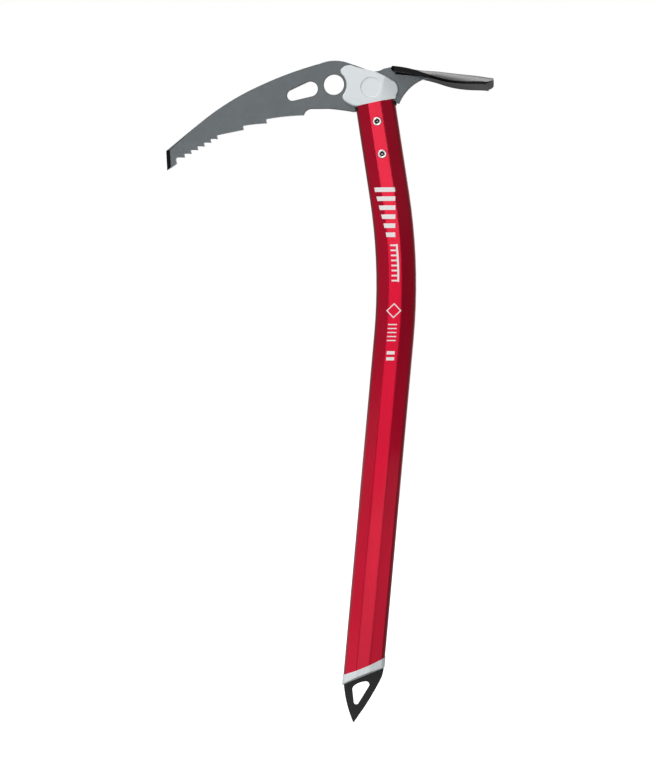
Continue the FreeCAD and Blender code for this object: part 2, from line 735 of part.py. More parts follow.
def make_cheek(side):
    """Plastic packing between the tang and the wall of the shaft, held by both rivets."""
    sign = -1 if side == "near" else 1
    body = new_body("tang_cheek_" + side, HEAD_END)
    sketch = new_sketch(body, body.Name + "_section", "XY_Plane", "cheek_top")
    (fx, fy), (sx, sy), _ = section_corners(cell("wall_thickness") + cell("fit_gap"))
    flat = cell("plate_thickness") / 2 + cell("cover_gap")
    wide = cell("tang_half_width")
    corners = [(-wide, flat), (wide, flat), (sx, sy), (fx, fy), (-fx, fy), (-sx, sy)]
    polygon(sketch, [(x, sign * y) for x, y in corners])
    extrude(body, "Pad", sketch, "cheek_length", reverse=True)
    # An ear on each side fills the notch in the shaft's wall.
    ears = new_sketch(body, body.Name + "_ears", "XY_Plane", "cheek_top")
    reach = cell("ear_reach")
    outside = cell("slot_width") / 2 - cell("fit_gap")
    corners = [(EAR_ROOT, flat), (reach, flat), (reach, flat + 1.0)]
    corners += [(wide + 0.5, outside), (EAR_ROOT, outside)]
    for end in (-1, 1):
        polygon(ears, [(end * x, sign * y) for x, y in corners])
    extrude(body, "Pad", ears, cell("cheek_top") - cell("ear_bottom"), reverse=True)
    rivet_holes(body)
    return body


def make_rivet(label, depth):
    """A semi-tubular rivet across the shaft, with a rolled flange and a short bore at both ends."""
    place = HEAD_END.multVec(FreeCAD.Vector(0, 0, -cell(depth)))
    body = new_body(label, leaning_frame(place.x, place.z, -cell("upper_lean")))
    sketch = new_sketch(body, label + "_profile", "XY_Plane")
    seat = cell("shaft_depth") / 2
    lip = seat + 0.7
    bore_end = lip - cell("rivet_bore_depth")
    bore = cell("rivet_bore_radius")
    flange = cell("rivet_flange_radius")

    # One end of the profile, from the bottom of its bore to the shank.
    profile_end = [(bore, bore_end), (bore + 0.15, lip), (bore + 0.75, seat + 1.0),
                   (flange, seat + 0.3), (flange, seat), (cell("rivet_radius"), seat)]
    bottom, mouth, crown, brim, under, shank = profile_end
    near = [(x, -y) for x, y in profile_end]
    steps = [[near[0]], [near[1]], near[2:4], [near[4]], [near[5]]]
    steps += [[shank], [under], [brim], [crown, mouth], [bottom], [(0.0, bore_end)], [(0.0, -bore_end)]]
    outline(sketch, (0.0, -bore_end), steps)
    doc.recompute()
    revolution = body.newObject("PartDesign::Revolution", label + "_turned")
    revolution.Profile = sketch
    revolution.ReferenceAxis = (sketch, ["V_Axis"])
    revolution.Angle = 360
    doc.recompute()
    return body


# Spike end, in the frame of the tube's lower end.

FERRULE_BLANK_START = -20.0
FERRULE_BLANK_LENGTH = 32.0
FERRULE_RIDGE = 2.2


def make_ferrule():
    """A moulded end: a rim as oblique as the shaft's end, and a plug that goes up inside the shaft."""
    body = new_body("spike_ferrule", SPIKE_END)
    ring = new_sketch(body, "ferrule_ring", "XY_Plane", FERRULE_BLANK_START)
    draw_section(ring, -cell("ferrule_overhang"), cell("facet_corner_radius"))
    extrude(body, "Pad", ring, FERRULE_BLANK_LENGTH)
    above = new_sketch(body, "ferrule_top_cut", "XZ_Plane")
    beside_end_cut(above, 40.0)
    cut_through(body, above)
    plug = new_sketch(body, "ferrule_plug", "XY_Plane", "-plug_start")
    draw_section(plug, cell("wall_thickness") + cell("fit_gap"))
    extrude(body, "Pad", plug, "plug_length")
    tilt = FreeCAD.Rotation(FreeCAD.Vector(1, 0, 0), -cell("end_cut_angle"))
    below = new_sketch(body, "ferrule_underside", "YZ_Plane", rotation=tilt)
    drop = -cell("ferrule_drop")
    edge = -cell("ferrule_edge_drop")
    ridge = FERRULE_RIDGE
    polygon(below, [(-12.0, edge), (-ridge, drop), (ridge, drop), (12.0, edge), (12.0, -40.0), (-12.0, -40.0)])
    cut_through(body, below)
    slot = new_sketch(body, "ferrule_slot", "XY_Plane", FERRULE_BLANK_START)
    wide = cell("spike_tang_half_width") + cell("hole_clearance")
    thick = cell("spike_thickness") / 2 + cell("hole_clearance")
    polygon(slot, [(-wide, -thick), (wide, -thick), (wide, thick), (-wide, thick)])
    slot_length = cell("spike_tang_length") + cell("tang_end_gap") - FERRULE_BLANK_START
    extrude(body, "Pocket", slot, slot_length, reverse=True)
    cross = new_sketch(body, "ferrule_pin_hole", "XZ_Plane")
    circle(cross, (0.0, "pin_height"), cell("pin_radius") + cell("pin_clearance"))
    cut_through(body, cross)
    return body


SPIKE_SHOULDER_X = -14.1


def make_spike():
    body = new_body("spike_plate", SPIKE_END)
    sketch = new_sketch(body, "spike_outline", "XZ_Plane")
    rise = math.tan(math.radians(cell("end_cut_angle")))
    drop = (cell("ferrule_drop") + cell("hole_clearance") / 2) / math.cos(math.radians(cell("end_cut_angle")))
    half = cell("spike_tang_half_width")
    top = cell("spike_tang_length")

    def on_seat(x):
        return x, x * rise - drop

    steps = [
        [(-10.7, -29.4), (-4.75, -43.0)],
        [(-4.2, -43.6), (-3.6, -42.9)],
        [(6.65, -24.4), (13.4, -9.2)],
        [(14.5, -5.0), on_seat(14.9)],
        [on_seat(half)],
        [(half, top)],
        [(-half, top)],
        [on_seat(-half)],
        [on_seat(SPIKE_SHOULDER_X)],
    ]
    outline(sketch, on_seat(SPIKE_SHOULDER_X), steps)
    extrude(body, "Pad", sketch, "spike_thickness", "Symmetric")
    eye = new_sketch(body, "spike_eye", "XZ_Plane")
    steps = [
        [(-5.6, -28.5)],
        [(-3.75, -30.3), (-1.8, -28.8)],
        [(4.8, -15.5)],
        [(4.85, -12.8), (2.4, -11.85)],
        [(-0.7, -12.6), (-3.4, -13.9), (-5.6, -15.5), (-6.9, -17.1), (-7.5, -19.0)],
    ]
    outline(eye, (-7.5, -19.0), steps)
    cut_through(body, eye)
    cross = new_sketch(body, "spike_pin_hole", "XZ_Plane")
    circle(cross, (0.0, "pin_height"), cell("pin_radius") + cell("pin_clearance"))
    cut_through(body, cross)
    return body


def make_pin():
    axle = doc.addObject("Part::Cylinder", "spike_pin")
    axle.Label = "spike_pin"
    bind(axle, "Radius", "pin_radius")
    bind(axle, "Height", "pin_length")
    start = SPIKE_END.multVec(FreeCAD.Vector(0, cell("pin_length") / 2, cell("pin_height")))
    axle.Placement = FreeCAD.Placement(start, FreeCAD.Rotation(FreeCAD.Vector(1, 0, 0), 90))
    doc.recompute()
    return axle


adze_blade = make_adze()
head_plate = make_head_plate(adze_blade)
pieces = [make_shaft_tube(), head_plate, adze_blade]
pieces += make_welds(adze_blade)
for side in ("near", "far"):
    pieces.append(make_cover(side))
    pieces.append(make_cheek(side))
pieces.append(make_rivet("upper_rivet", "upper_rivet_depth"))
pieces.append(make_rivet("lower_rivet", "lower_rivet_depth"))
pieces += [make_ferrule(), make_spike(), make_pin()]
doc.recompute()

for item in doc.Objects:
    if "Invalid" in item.State or "Error" in item.State:
        raise RuntimeError("%s did not recompute: %s" % (item.Label, item.State))
for piece in pieces:
    if piece.Shape.isNull() or not piece.Shape.isValid():
        raise RuntimeError(piece.Label + " has no valid shape")

os.makedirs("parts", exist_ok=True)
for piece in pieces:
    piece.Shape.exportStep(os.path.join("parts", piece.Label + ".step"))
    box = piece.Shape.BoundBox
    print("%-18s volume %9.1f  solids %d  X %7.1f..%7.1f  Y %6.1f..%6.1f  Z %7.1f..%7.1f" % (
        piece.Label, piece.Shape.Volume, len(piece.Shape.Solids),
        box.XMin, box.XMax, box.YMin, box.YMax, box.ZMin, box.ZMax))
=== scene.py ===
import json
import math

import bmesh
import bpy
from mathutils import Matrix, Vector


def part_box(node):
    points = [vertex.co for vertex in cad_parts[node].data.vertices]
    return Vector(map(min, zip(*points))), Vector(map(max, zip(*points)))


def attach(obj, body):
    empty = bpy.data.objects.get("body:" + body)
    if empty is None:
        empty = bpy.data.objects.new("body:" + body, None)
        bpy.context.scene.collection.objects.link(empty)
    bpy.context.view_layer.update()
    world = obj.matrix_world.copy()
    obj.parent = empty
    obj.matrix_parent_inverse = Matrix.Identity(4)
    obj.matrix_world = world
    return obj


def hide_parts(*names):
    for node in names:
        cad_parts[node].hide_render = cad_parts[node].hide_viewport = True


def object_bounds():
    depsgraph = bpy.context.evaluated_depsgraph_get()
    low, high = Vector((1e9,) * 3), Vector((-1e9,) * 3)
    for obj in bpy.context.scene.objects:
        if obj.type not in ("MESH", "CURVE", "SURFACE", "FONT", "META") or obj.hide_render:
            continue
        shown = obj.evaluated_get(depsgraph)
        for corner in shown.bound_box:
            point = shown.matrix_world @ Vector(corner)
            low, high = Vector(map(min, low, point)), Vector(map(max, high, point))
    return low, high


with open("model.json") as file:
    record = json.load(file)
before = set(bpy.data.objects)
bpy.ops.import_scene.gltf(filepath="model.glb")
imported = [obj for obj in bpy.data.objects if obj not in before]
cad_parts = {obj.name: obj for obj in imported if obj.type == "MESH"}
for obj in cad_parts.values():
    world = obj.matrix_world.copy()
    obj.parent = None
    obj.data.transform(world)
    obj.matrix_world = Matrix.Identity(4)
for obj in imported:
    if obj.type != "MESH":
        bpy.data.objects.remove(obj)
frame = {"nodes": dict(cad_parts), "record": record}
cad_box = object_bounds()
nodes = frame["nodes"]
scene = bpy.context.scene

# Camera: level, a little to the adze side, with its eye somewhat above the middle of the axe.
# The picture's centre lies lower than the eye, so the lens is shifted down and upright lines stay upright.

PICTURE_CENTRE = Vector((-0.0027, 0.0, -0.2330))
EYE_HEIGHT = -0.190
CAMERA_AZIMUTH = math.radians(6.0)
CAMERA_DISTANCE = 1.736
PICTURE_HEIGHT = 0.595

camera_data = bpy.data.cameras.new("camera")
camera_data.sensor_width = 36.0
camera_data.lens = camera_data.sensor_width * CAMERA_DISTANCE / PICTURE_HEIGHT
camera_data.shift_y = (PICTURE_CENTRE.z - EYE_HEIGHT) / PICTURE_HEIGHT
camera = bpy.data.objects.new("camera", camera_data)
backwards = Vector((math.sin(CAMERA_AZIMUTH), -math.cos(CAMERA_AZIMUTH), 0.0))
camera.location = PICTURE_CENTRE + backwards * CAMERA_DISTANCE
camera.location.z = EYE_HEIGHT
camera.rotation_euler = (-backwards).to_track_quat("-Z", "Y").to_euler()
scene.collection.objects.link(camera)
scene.camera = camera
scene.view_settings.view_transform = "Standard"


# Materials. Every pattern is placed by Object coordinates, which are metres in the row frame.

# Noise stays near a half. A ramp between either pair of ends spreads it over the whole range.
STRONG = (0.35, 0.65)
GENTLE = (0.3, 0.7)


def add(tree, kind, inputs=None, **settings):
    """A new node. An input is a value, or the socket of another node to link from."""
    node = tree.nodes.new("ShaderNode" + kind)
    for name, value in settings.items():
        setattr(node, name, value)
    for name, value in (inputs or {}).items():
        if isinstance(value, bpy.types.NodeSocket):
            tree.links.new(value, node.inputs[name])
        else:
            node.inputs[name].default_value = value
    return node


class Material:
    """A material and short names for the nodes that its patterns are made of."""

    def __init__(self, name):
        self.data = bpy.data.materials.new(name)
        self.data.use_nodes = True
        self.tree = self.data.node_tree
        self.tree.nodes.clear()
        source = self.add("TexCoord")
        self.place = source.outputs["Object"]
        facing = self.add("SeparateXYZ", {0: source.outputs["Normal"]})
        self.facing = [facing.outputs[axis] for axis in "XYZ"]
        split = self.add("SeparateXYZ", {0: self.place})
        self.x, self.y, self.z = [split.outputs[axis] for axis in "XYZ"]

    def add(self, kind, inputs=None, **settings):
        return add(self.tree, kind, inputs, **settings)

    def math(self, operation, a, b=0.0, c=0.0):
        return self.add("Math", {0: a, 1: b, 2: c}, operation=operation).outputs[0]

    def vector(self, x, y, z):
        return self.add("CombineXYZ", {0: x, 1: y, 2: z}).outputs[0]

    def stretch(self, x, y, z):
        """Object coordinates, each axis multiplied."""
        return self.add("VectorMath", {0: self.place, 1: (x, y, z)}, operation="MULTIPLY").outputs[0]

    def vary(self, place, scale, detail=3.0, roughness=0.5):
        """Noise about a half, with as many grains to a metre as the scale says."""
        settings = {"Vector": place, "Scale": scale, "Detail": detail, "Roughness": roughness}
        return self.add("TexNoise", settings).outputs["Fac"]

    def cells(self, place, scale):
        """The distance to the nearest of many scattered points, for pits."""
        return self.add("TexVoronoi", {"Vector": place, "Scale": scale}).outputs["Distance"]

    def ramp(self, factor, low, high, low_value=0.0, high_value=1.0):
        """A number that goes from one value to another as the factor goes from low to high."""
        return self.add("MapRange", {"Value": factor, "From Min": low, "From Max": high,
                                     "To Min": low_value, "To Max": high_value}).outputs["Result"]

    def mix(self, factor, a, b):
        """A colour between two. A colour is three numbers or a socket. The node's colours are 6 and 7."""
        first, second = [(*value, 1.0) if isinstance(value, tuple) else value for value in (a, b)]
        return self.add("Mix", {0: factor, 6: first, 7: second}, data_type="RGBA").outputs[2]

    def blend(self, factor, a, b):
        """A number between two."""
        return self.add("Mix", {0: factor, 2: a, 3: b}).outputs[0]

    def worn_edge(self, radius, low, high):
        """1 on edges that a small bevel would round, 0 on flat ground."""
        rounded = self.add("Bevel", {"Radius": radius}, samples=6).outputs[0]
        flat = self.add("NewGeometry").outputs["Normal"]
        likeness = self.add("VectorMath", {0: rounded, 1: flat}, operation="DOT_PRODUCT")
        return self.ramp(likeness.outputs["Value"], high, low)

    def finish(self, color, roughness, height, depth, **constants):
        """The shader: sockets for colour, roughness and bump height, and plain numbers for the rest."""
        shader = self.add("BsdfPrincipled", {"Base Color": color, "Roughness": roughness})
        for name, value in constants.items():
            shader.inputs[name.replace("_", " ").title().replace("Ior", "IOR")].default_value = value
        bump = self.add("Bump", {"Height": height, "Strength": 1.0, "Distance": depth})
        self.tree.links.new(bump.outputs[0], shader.inputs["Normal"])
        self.add("OutputMaterial", {"Surface": shader.outputs[0]})
        return shader


# The shaft's two straight stretches: how far each leans towards the adze as it goes up.
UPPER_LEAN = math.radians(-8.74)
LOWER_LEAN = math.radians(5.18)
# They meet in a bend, at this X and Z. The centre line rounds it off over about this height.
BEND = (0.0505, -0.138)
BEND_ROUNDING = 0.0267


def shaft_coordinates(m):
    """How far a point lies towards +X from the shaft's centre line, a hyperbola that rounds the bend."""
    upper_slope = math.tan(UPPER_LEAN)
    lower_slope = math.tan(LOWER_LEAN)
    bend_x, bend_z = BEND
    above = m.math("SUBTRACT", m.z, bend_z)
    rounded = m.math("SQRT", m.math("MULTIPLY_ADD", above, above, BEND_ROUNDING ** 2))
    straight = m.math("MULTIPLY_ADD", above, (upper_slope + lower_slope) / 2, bend_x)
    centre = m.math("MULTIPLY_ADD", rounded, (upper_slope - lower_slope) / 2, straight)
    return m.math("SUBTRACT", m.x, centre)


def outside_bar(m, from_x, from_z, half_width, half_height):
    """How far a point lies outside a bar, from its distances to the bar's middle. Inside it's negative."""
    over_x = m.math("SUBTRACT", m.math("ABSOLUTE", from_x), half_width)
    over_z = m.math("SUBTRACT", m.math("ABSOLUTE", from_z), half_height)
    return m.math("MAXIMUM", over_x, over_z)


def bar(m, across, middle, half_width, half_height):
    """One bar, with its middle at this distance across the shaft and this Z."""
    middle_x, middle_z = middle
    from_x = m.math("SUBTRACT", across, middle_x)
    from_z = m.math("SUBTRACT", m.z, middle_z)
    return outside_bar(m, from_x, from_z, half_width, half_height)


def row_of_bars(m, across, count, top, pitch, first_half_width, last_half_width, half_height):
    """Bars one below another, where top is the first one's middle: across the shaft, and Z."""
    middle_x, top_z = top
    height = (count - 1) * pitch
    from_x = m.math("SUBTRACT", across, middle_x)
    up = m.math("SUBTRACT", m.z, top_z - height / 2)
    share = m.math("MULTIPLY_ADD", up, 1.0 / height, 0.5)
    half_width = m.blend(share, last_half_width, first_half_width)
    from_bar = m.math("PINGPONG", m.math("SUBTRACT", m.z, top_z), pitch / 2)
    in_bar = outside_bar(m, from_x, from_bar, half_width, half_height)
    past_row = m.math("SUBTRACT", m.math("ABSOLUTE", up), (height + pitch / 2) / 2)
    return m.math("MAXIMUM", in_bar, past_row)


def diamond(m, across, middle_z, reach, half_line):
    """The outline of a square that stands on its corner."""
    up = m.math("ABSOLUTE", m.math("SUBTRACT", m.z, middle_z))
    away = m.math("ADD", m.math("ABSOLUTE", across), up)
    from_line = m.math("ABSOLUTE", m.math("SUBTRACT", away, reach))
    return m.math("SUBTRACT", from_line, half_line * math.sqrt(2))


# How far the ink's soft edge goes to each side of its outline.
INK_EDGE = 0.00008


def printed_marks(m, across):
    """1 where the near side is printed: plain graduated stripes, a scale, a diamond and bars."""
    marks = [
        row_of_bars(m, across, 6, (-0.0015, -0.0805), pitch=0.0068,
                    first_half_width=0.0079, last_half_width=0.0034, half_height=0.0017),
        row_of_bars(m, across, 8, (-0.0006, -0.1225), pitch=0.0038,
                    first_half_width=0.0021, last_half_width=0.0021, half_height=0.0006),
        bar(m, across, (0.0023, -0.1358), half_width=0.0007, half_height=0.0142),
        diamond(m, across, -0.1717, reach=0.0052, half_line=0.0004),
        row_of_bars(m, across, 5, (-0.0003, -0.1822), pitch=0.0030,
                    first_half_width=0.0034, last_half_width=0.0034, half_height=0.0004),
        bar(m, across, (0.0, -0.2035), half_width=0.0030, half_height=0.0012),
        bar(m, across, (0.0, -0.2080), half_width=0.0030, half_height=0.0012),
    ]
    nearest = marks[0]
    for mark in marks[1:]:
        nearest = m.math("MINIMUM", nearest, mark)
    near_side = m.ramp(m.facing[1], -0.4, -0.6)
    return m.math("MULTIPLY", m.ramp(nearest, INK_EDGE, -INK_EDGE), near_side)


RED_LIGHT = (0.51, 0.0014, 0.026)
RED_DARK = (0.45, 0.0010, 0.021)
# Paler red for the edges: partly wear, partly a painted highlight.
RED_WEAR_AND_HIGHLIGHT = (0.75, 0.12, 0.14)
INK = (0.86, 0.84, 0.84)


def red_anodised():
    """Drawn and anodised aluminium: fine streaks along the shaft, edges paler partly from wear and partly
    by a painted highlight, and the print.
    """
    m = Material("red_anodised")
    across = shaft_coordinates(m)
    # Along the shaft everything is drawn out to fifty times its width.
    along = m.vector(across, m.y, m.math("MULTIPLY", m.z, 1 / 50))
    streaks = m.vary(along, scale=2200.0, detail=4.0, roughness=0.6)
    bands = m.vary(along, scale=380.0, detail=2.0)
    clouds = m.vary(m.place, scale=26.0)
    grain = m.vary(m.place, scale=5200.0, detail=2.0)
    ink = printed_marks(m, across)

    tone = m.math("MULTIPLY_ADD", streaks, 0.45, m.math("MULTIPLY", clouds, 0.55))
    # Every edge is paled a little: partly wear, partly a painted highlight.
    wear_and_highlight = m.math("MULTIPLY", m.worn_edge(0.0004, 0.9, 0.995), 0.15)
    color = m.mix(m.ramp(tone, *STRONG), RED_DARK, RED_LIGHT)
    color = m.mix(wear_and_highlight, color, RED_WEAR_AND_HIGHLIGHT)
    color = m.mix(ink, color, INK)
    gloss = m.ramp(streaks, *GENTLE, 0.27, 0.35)
    roughness = m.math("ADD", gloss, m.ramp(bands, *GENTLE, -0.02, 0.02))
    roughness = m.blend(ink, roughness, 0.5)
    height = m.math("ADD", m.math("MULTIPLY", streaks, 0.6), m.math("MULTIPLY", grain, 0.4))
    height = m.math("ADD", height, m.math("MULTIPLY", ink, 1.5))
    shader = m.finish(color, roughness, height, 0.000006, coat_weight=0.25, coat_roughness=0.08)
    m.tree.links.new(m.math("SUBTRACT", 1.0, ink), shader.inputs["Metallic"])
    return m.data


STEEL_WORN = (0.42, 0.42, 0.43)
# Bare steel with a painted highlight, for the up-facing bevel near the pick's tip.
BARE_STEEL_HIGHLIGHT = (0.62, 0.62, 0.63)


def satin_steel(name, light, dark, edge, rough, is_edge, is_lit_bare=None):
    """Bead-blasted faces, with ground edges that are smoother and near black, a painted dark reflection,
    or bare and bright, partly a painted highlight.
    """
    m = Material(name)
    clouds = m.vary(m.place, scale=38.0, detail=4.0, roughness=0.55)
    blotches = m.vary(m.place, scale=210.0)
    grain = m.vary(m.place, scale=4200.0, detail=2.0)
    pits = m.cells(m.place, 2600.0)
    grind = m.vary(m.stretch(900.0, 60.0, 900.0), scale=3.0)
    patches = m.ramp(m.vary(m.place, scale=300.0), 0.4, 0.7, 0.0, 0.22)
    on_edge = is_edge(m)

    tone = m.math("MULTIPLY_ADD", clouds, 0.6, m.math("MULTIPLY", blotches, 0.4))
    face_color = m.mix(m.ramp(tone, *STRONG), dark, light)
    face_color = m.mix(m.ramp(grain, 0.62, 0.75, 0.0, 0.25), face_color, tuple(1.5 * v for v in light))
    # The edge colour is near black: a painted dark reflection.
    painted_edge_color = m.mix(m.ramp(grind, *STRONG), edge, tuple(1.9 * v for v in edge))
    if is_lit_bare:
        # The bare strip is lighter: partly bare steel, partly a painted highlight.
        painted_edge_color = m.mix(is_lit_bare(m), painted_edge_color, BARE_STEEL_HIGHLIGHT)
    color = m.mix(on_edge, face_color, painted_edge_color)
    color = m.mix(m.math("MULTIPLY", m.worn_edge(0.0003, 0.9, 0.99), patches), color, STEEL_WORN)

    face_roughness = m.ramp(grain, *GENTLE, rough - 0.05, rough + 0.06)
    roughness = m.blend(on_edge, face_roughness, m.ramp(grind, *GENTLE, 0.22, 0.34))
    face_height = m.math("ADD", grain, m.math("MULTIPLY", pits, 0.5))
    height = m.blend(on_edge, face_height, m.math("MULTIPLY", grind, 0.5))
    m.finish(color, roughness, height, 0.000012, metallic=1.0)
    return m.data


def off_the_faces(m):
    """The head plate's edges and bevels: wherever it doesn't face straight to a side. Their near-black
    colour is a painted dark reflection.
    """
    return m.ramp(m.math("ABSOLUTE", m.facing[1]), 0.94, 0.88)


def lit_ground_strip(m):
    """The outer part of the bevel along the top of the pick, close to the tip, where it faces up: bare
    steel with a painted highlight from the light above.
    """
    outer = m.ramp(m.math("ABSOLUTE", m.y), 0.0017, 0.0014)
    near_tip = m.ramp(m.x, -0.107, -0.113)
    upward = m.ramp(m.facing[2], 0.15, 0.3)
    return m.math("MULTIPLY", m.math("MULTIPLY", outer, near_tip), upward)


def upright(m):
    """The adze's cut edge: wherever the sheet faces neither up nor down. Its near-black colour is a
    painted dark reflection.
    """
    return m.ramp(m.math("ABSOLUTE", m.facing[2]), 0.45, 0.35)


def moulded_plastic(name, light, dark, rough, depth):
    """Filled plastic with a fine moulded grain and small pits."""
    m = Material(name)
    clouds = m.vary(m.place, scale=45.0)
    grain = m.vary(m.place, scale=2600.0, roughness=0.6)
    pits = m.cells(m.place, 1900.0)
    tone = m.math("MULTIPLY_ADD", clouds, 0.75, m.math("MULTIPLY", grain, 0.25))
    color = m.mix(m.ramp(tone, *STRONG), dark, light)
    roughness = m.ramp(grain, *GENTLE, rough - 0.05, rough + 0.05)
    height = m.math("ADD", grain, m.math("MULTIPLY", pits, 0.6))
    m.finish(color, roughness, height, depth, specular_ior_level=0.45)
    return m.data


COATING_LIGHT = (0.010, 0.010, 0.0101)
COATING_DARK = (0.0065, 0.0065, 0.0066)
COATING_WORN = (0.16, 0.16, 0.16)


def black_coating():
    """A fine matt coat on the spike, worn thin in patches along its edges."""
    m = Material("black_coating")
    grain = m.vary(m.place, scale=3200.0, roughness=0.6)
    clouds = m.vary(m.place, scale=60.0)
    patches = m.ramp(m.vary(m.place, scale=420.0, detail=4.0), 0.5, 0.7, 0.0, 0.35)
    color = m.mix(m.ramp(clouds, *STRONG), COATING_DARK, COATING_LIGHT)
    color = m.mix(m.math("MULTIPLY", m.worn_edge(0.0003, 0.9, 0.99), patches), color, COATING_WORN)
    m.finish(color, m.ramp(grain, *GENTLE, 0.42, 0.56), grain, 0.000015, specular_ior_level=0.35)
    return m.data


def bare_metal(name, light, dark, rough, turned=False):
    """Metal with fine marks. On a turned piece they run round an axis that is parallel to Y."""
    m = Material(name)
    marks = m.vary(m.stretch(1.0, 12.0, 1.0) if turned else m.place, scale=900.0)
    stain = m.vary(m.place, scale=500.0)
    color = m.mix(m.ramp(stain, *STRONG), dark, light)
    m.finish(color, m.ramp(marks, *GENTLE, rough - 0.05, rough + 0.08), marks, 0.000005, metallic=1.0)
    return m.data


PLATING_LIGHT = (0.92, 0.92, 0.90)
PLATING_DARK = (0.78, 0.78, 0.76)
# Painted shade for the rivet's bore and a painted contact shadow round the foot of its flange.
BORE_SHADE_LIGHT = (0.14, 0.15, 0.145)
BORE_SHADE_DARK = (0.06, 0.07, 0.065)


def plated_rivet():
    """Bright plating on the flange and on the core. The bore is darkened with painted shade, and the
    flange's rim with a painted contact shadow.
    """
    m = Material("plated_rivet")
    from_middle = m.math("ABSOLUTE", m.y)
    outward = m.ramp(m.math("ABSOLUTE", m.facing[1]), 0.5, 0.8)
    on_core = m.math("MULTIPLY", m.ramp(from_middle, 0.0092, 0.0094), outward)
    on_flange = m.ramp(from_middle, 0.0101, 0.0104)
    unshaded = m.math("MAXIMUM", on_flange, on_core)
    stain = m.ramp(m.vary(m.place, scale=700.0), *STRONG)
    # Away from the bright parts the colour is painted shade: in the bore, and at the flange's foot.
    bright = m.mix(stain, PLATING_DARK, PLATING_LIGHT)
    painted_shade = m.mix(stain, BORE_SHADE_DARK, BORE_SHADE_LIGHT)
    scratches = m.vary(m.stretch(1.0, 0.2, 1.0), scale=2600.0)
    roughness = m.ramp(scratches, *GENTLE, 0.22, 0.34)
    m.finish(m.mix(unshaded, painted_shade, bright), roughness, scratches, 0.000006, metallic=1.0)
    return m.data


FINISHES = {
    "shaft_anodised": red_anodised(),
    # The near-black edge colours of both steels are painted dark reflections.
    "head_steel": satin_steel(
        "satin_steel", light=(0.137, 0.151, 0.160), dark=(0.121, 0.134, 0.142),
        edge=(0.012, 0.012, 0.0125), rough=0.45, is_edge=off_the_faces, is_lit_bare=lit_ground_strip),
    "adze_steel": satin_steel(
        "adze_steel", light=(0.195, 0.195, 0.198), dark=(0.170, 0.170, 0.173),
        edge=(0.006, 0.006, 0.0062), rough=0.34, is_edge=upright),
    # The weld is near black: a painted dark reflection, like the cut edges.
    "weld_steel": bare_metal(
        "weld_steel", light=(0.018, 0.018, 0.0185), dark=(0.010, 0.010, 0.0104), rough=0.4),
    "cover_plastic": moulded_plastic(
        "pale_plastic", light=(0.79, 0.835, 0.85), dark=(0.75, 0.795, 0.81), rough=0.42, depth=0.00001),
    "packing_plastic": moulded_plastic(
        "dark_plastic", light=(0.007, 0.007, 0.0075), dark=(0.004, 0.004, 0.0044), rough=0.6,
        depth=0.00002),
    "rivet_metal": plated_rivet(),
    "spike_steel": black_coating(),
    "pin_steel": bare_metal(
        "turned_steel", light=(0.5, 0.5, 0.5), dark=(0.4, 0.4, 0.4), rough=0.3, turned=True),
}
SLOTS = {part["node"]: part["material_slot"] for part in frame["record"]["subparts"]}

for name, node in nodes.items():
    node.data.materials.clear()
    node.data.materials.append(FINISHES[SLOTS[name]])


# Pieces. Each is a CAD node's own shape with its edges rounded, except the rivets, which are turned anew.

SAME_CORNER = 2e-6
FLAT_ANGLE = math.radians(1.0)
SHARP_ANGLE = math.radians(40.0)


def clean_copy(name):
    """A CAD node's shape as a bmesh with whole faces instead of triangles."""
    shape = bmesh.new()
    shape.from_mesh(nodes[name].data)
    bmesh.ops.remove_doubles(shape, verts=shape.verts, dist=SAME_CORNER)
    bmesh.ops.dissolve_limit(shape, angle_limit=FLAT_ANGLE, verts=shape.verts, edges=shape.edges)
    bmesh.ops.recalc_face_normals(shape, faces=shape.faces)
    return shape


def place_piece(shape, name, node, crease=SHARP_ANGLE):
    """Make the bmesh an object that stands for a CAD node, smooth except at its creases."""
    for face in shape.faces:
        face.smooth = True
    for edge in shape.edges:
        edge.smooth = len(edge.link_faces) == 2 and edge.calc_face_angle() < crease
    mesh = bpy.data.meshes.new(name)
    shape.to_mesh(mesh)
    shape.free()
    mesh.materials.append(FINISHES[SLOTS[node]])
    piece = bpy.data.objects.new(name, mesh)
    scene.collection.objects.link(piece)
    weighted = piece.modifiers.new("flat_faces", "WEIGHTED_NORMAL")
    weighted.keep_sharp = True
    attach(piece, "root")
    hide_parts(node)


def round_edges(shape, is_wanted, radius, segments):
    """Round the edges that a test picks out."""
    edges = [edge for edge in shape.edges if len(edge.link_faces) == 2 and is_wanted(edge)]
    bmesh.ops.bevel(shape, geom=edges, offset=radius, segments=segments, profile=0.5,
                    affect="EDGES", clamp_overlap=False)


def sharp_corner(edge):
    return edge.calc_face_angle() > SHARP_ANGLE


# A frame at each end of the shaft, with X across it and Z along it: the origin's X and Z, and the lean.
HEAD_END = (0.031354, -0.013463, UPPER_LEAN)
SPIKE_END = (0.023062, -0.440659, LOWER_LEAN)


def in_frame(shaft_end, edge):
    """Where an edge's middle is in one of those frames: across the shaft and along it."""
    x, z, lean = shaft_end
    middle = (edge.verts[0].co + edge.verts[1].co) / 2
    dx = middle.x - x
    dz = middle.z - z
    across = dx * math.cos(lean) - dz * math.sin(lean)
    along = dx * math.sin(lean) + dz * math.cos(lean)
    return across, along


# The head covers' round recess and the left end of their mouth, in the frame of the shaft's upper end.
RECESS_ACROSS = -0.0010
RECESS_ALONG = 0.01065
RECESS_RADIUS = 0.0076
MOUTH_LEFT = -0.0144
# An edge of the outer face is rounded only if it's at least this far from the middle of the head plate.
OUTER_FACE_FROM = 0.0065


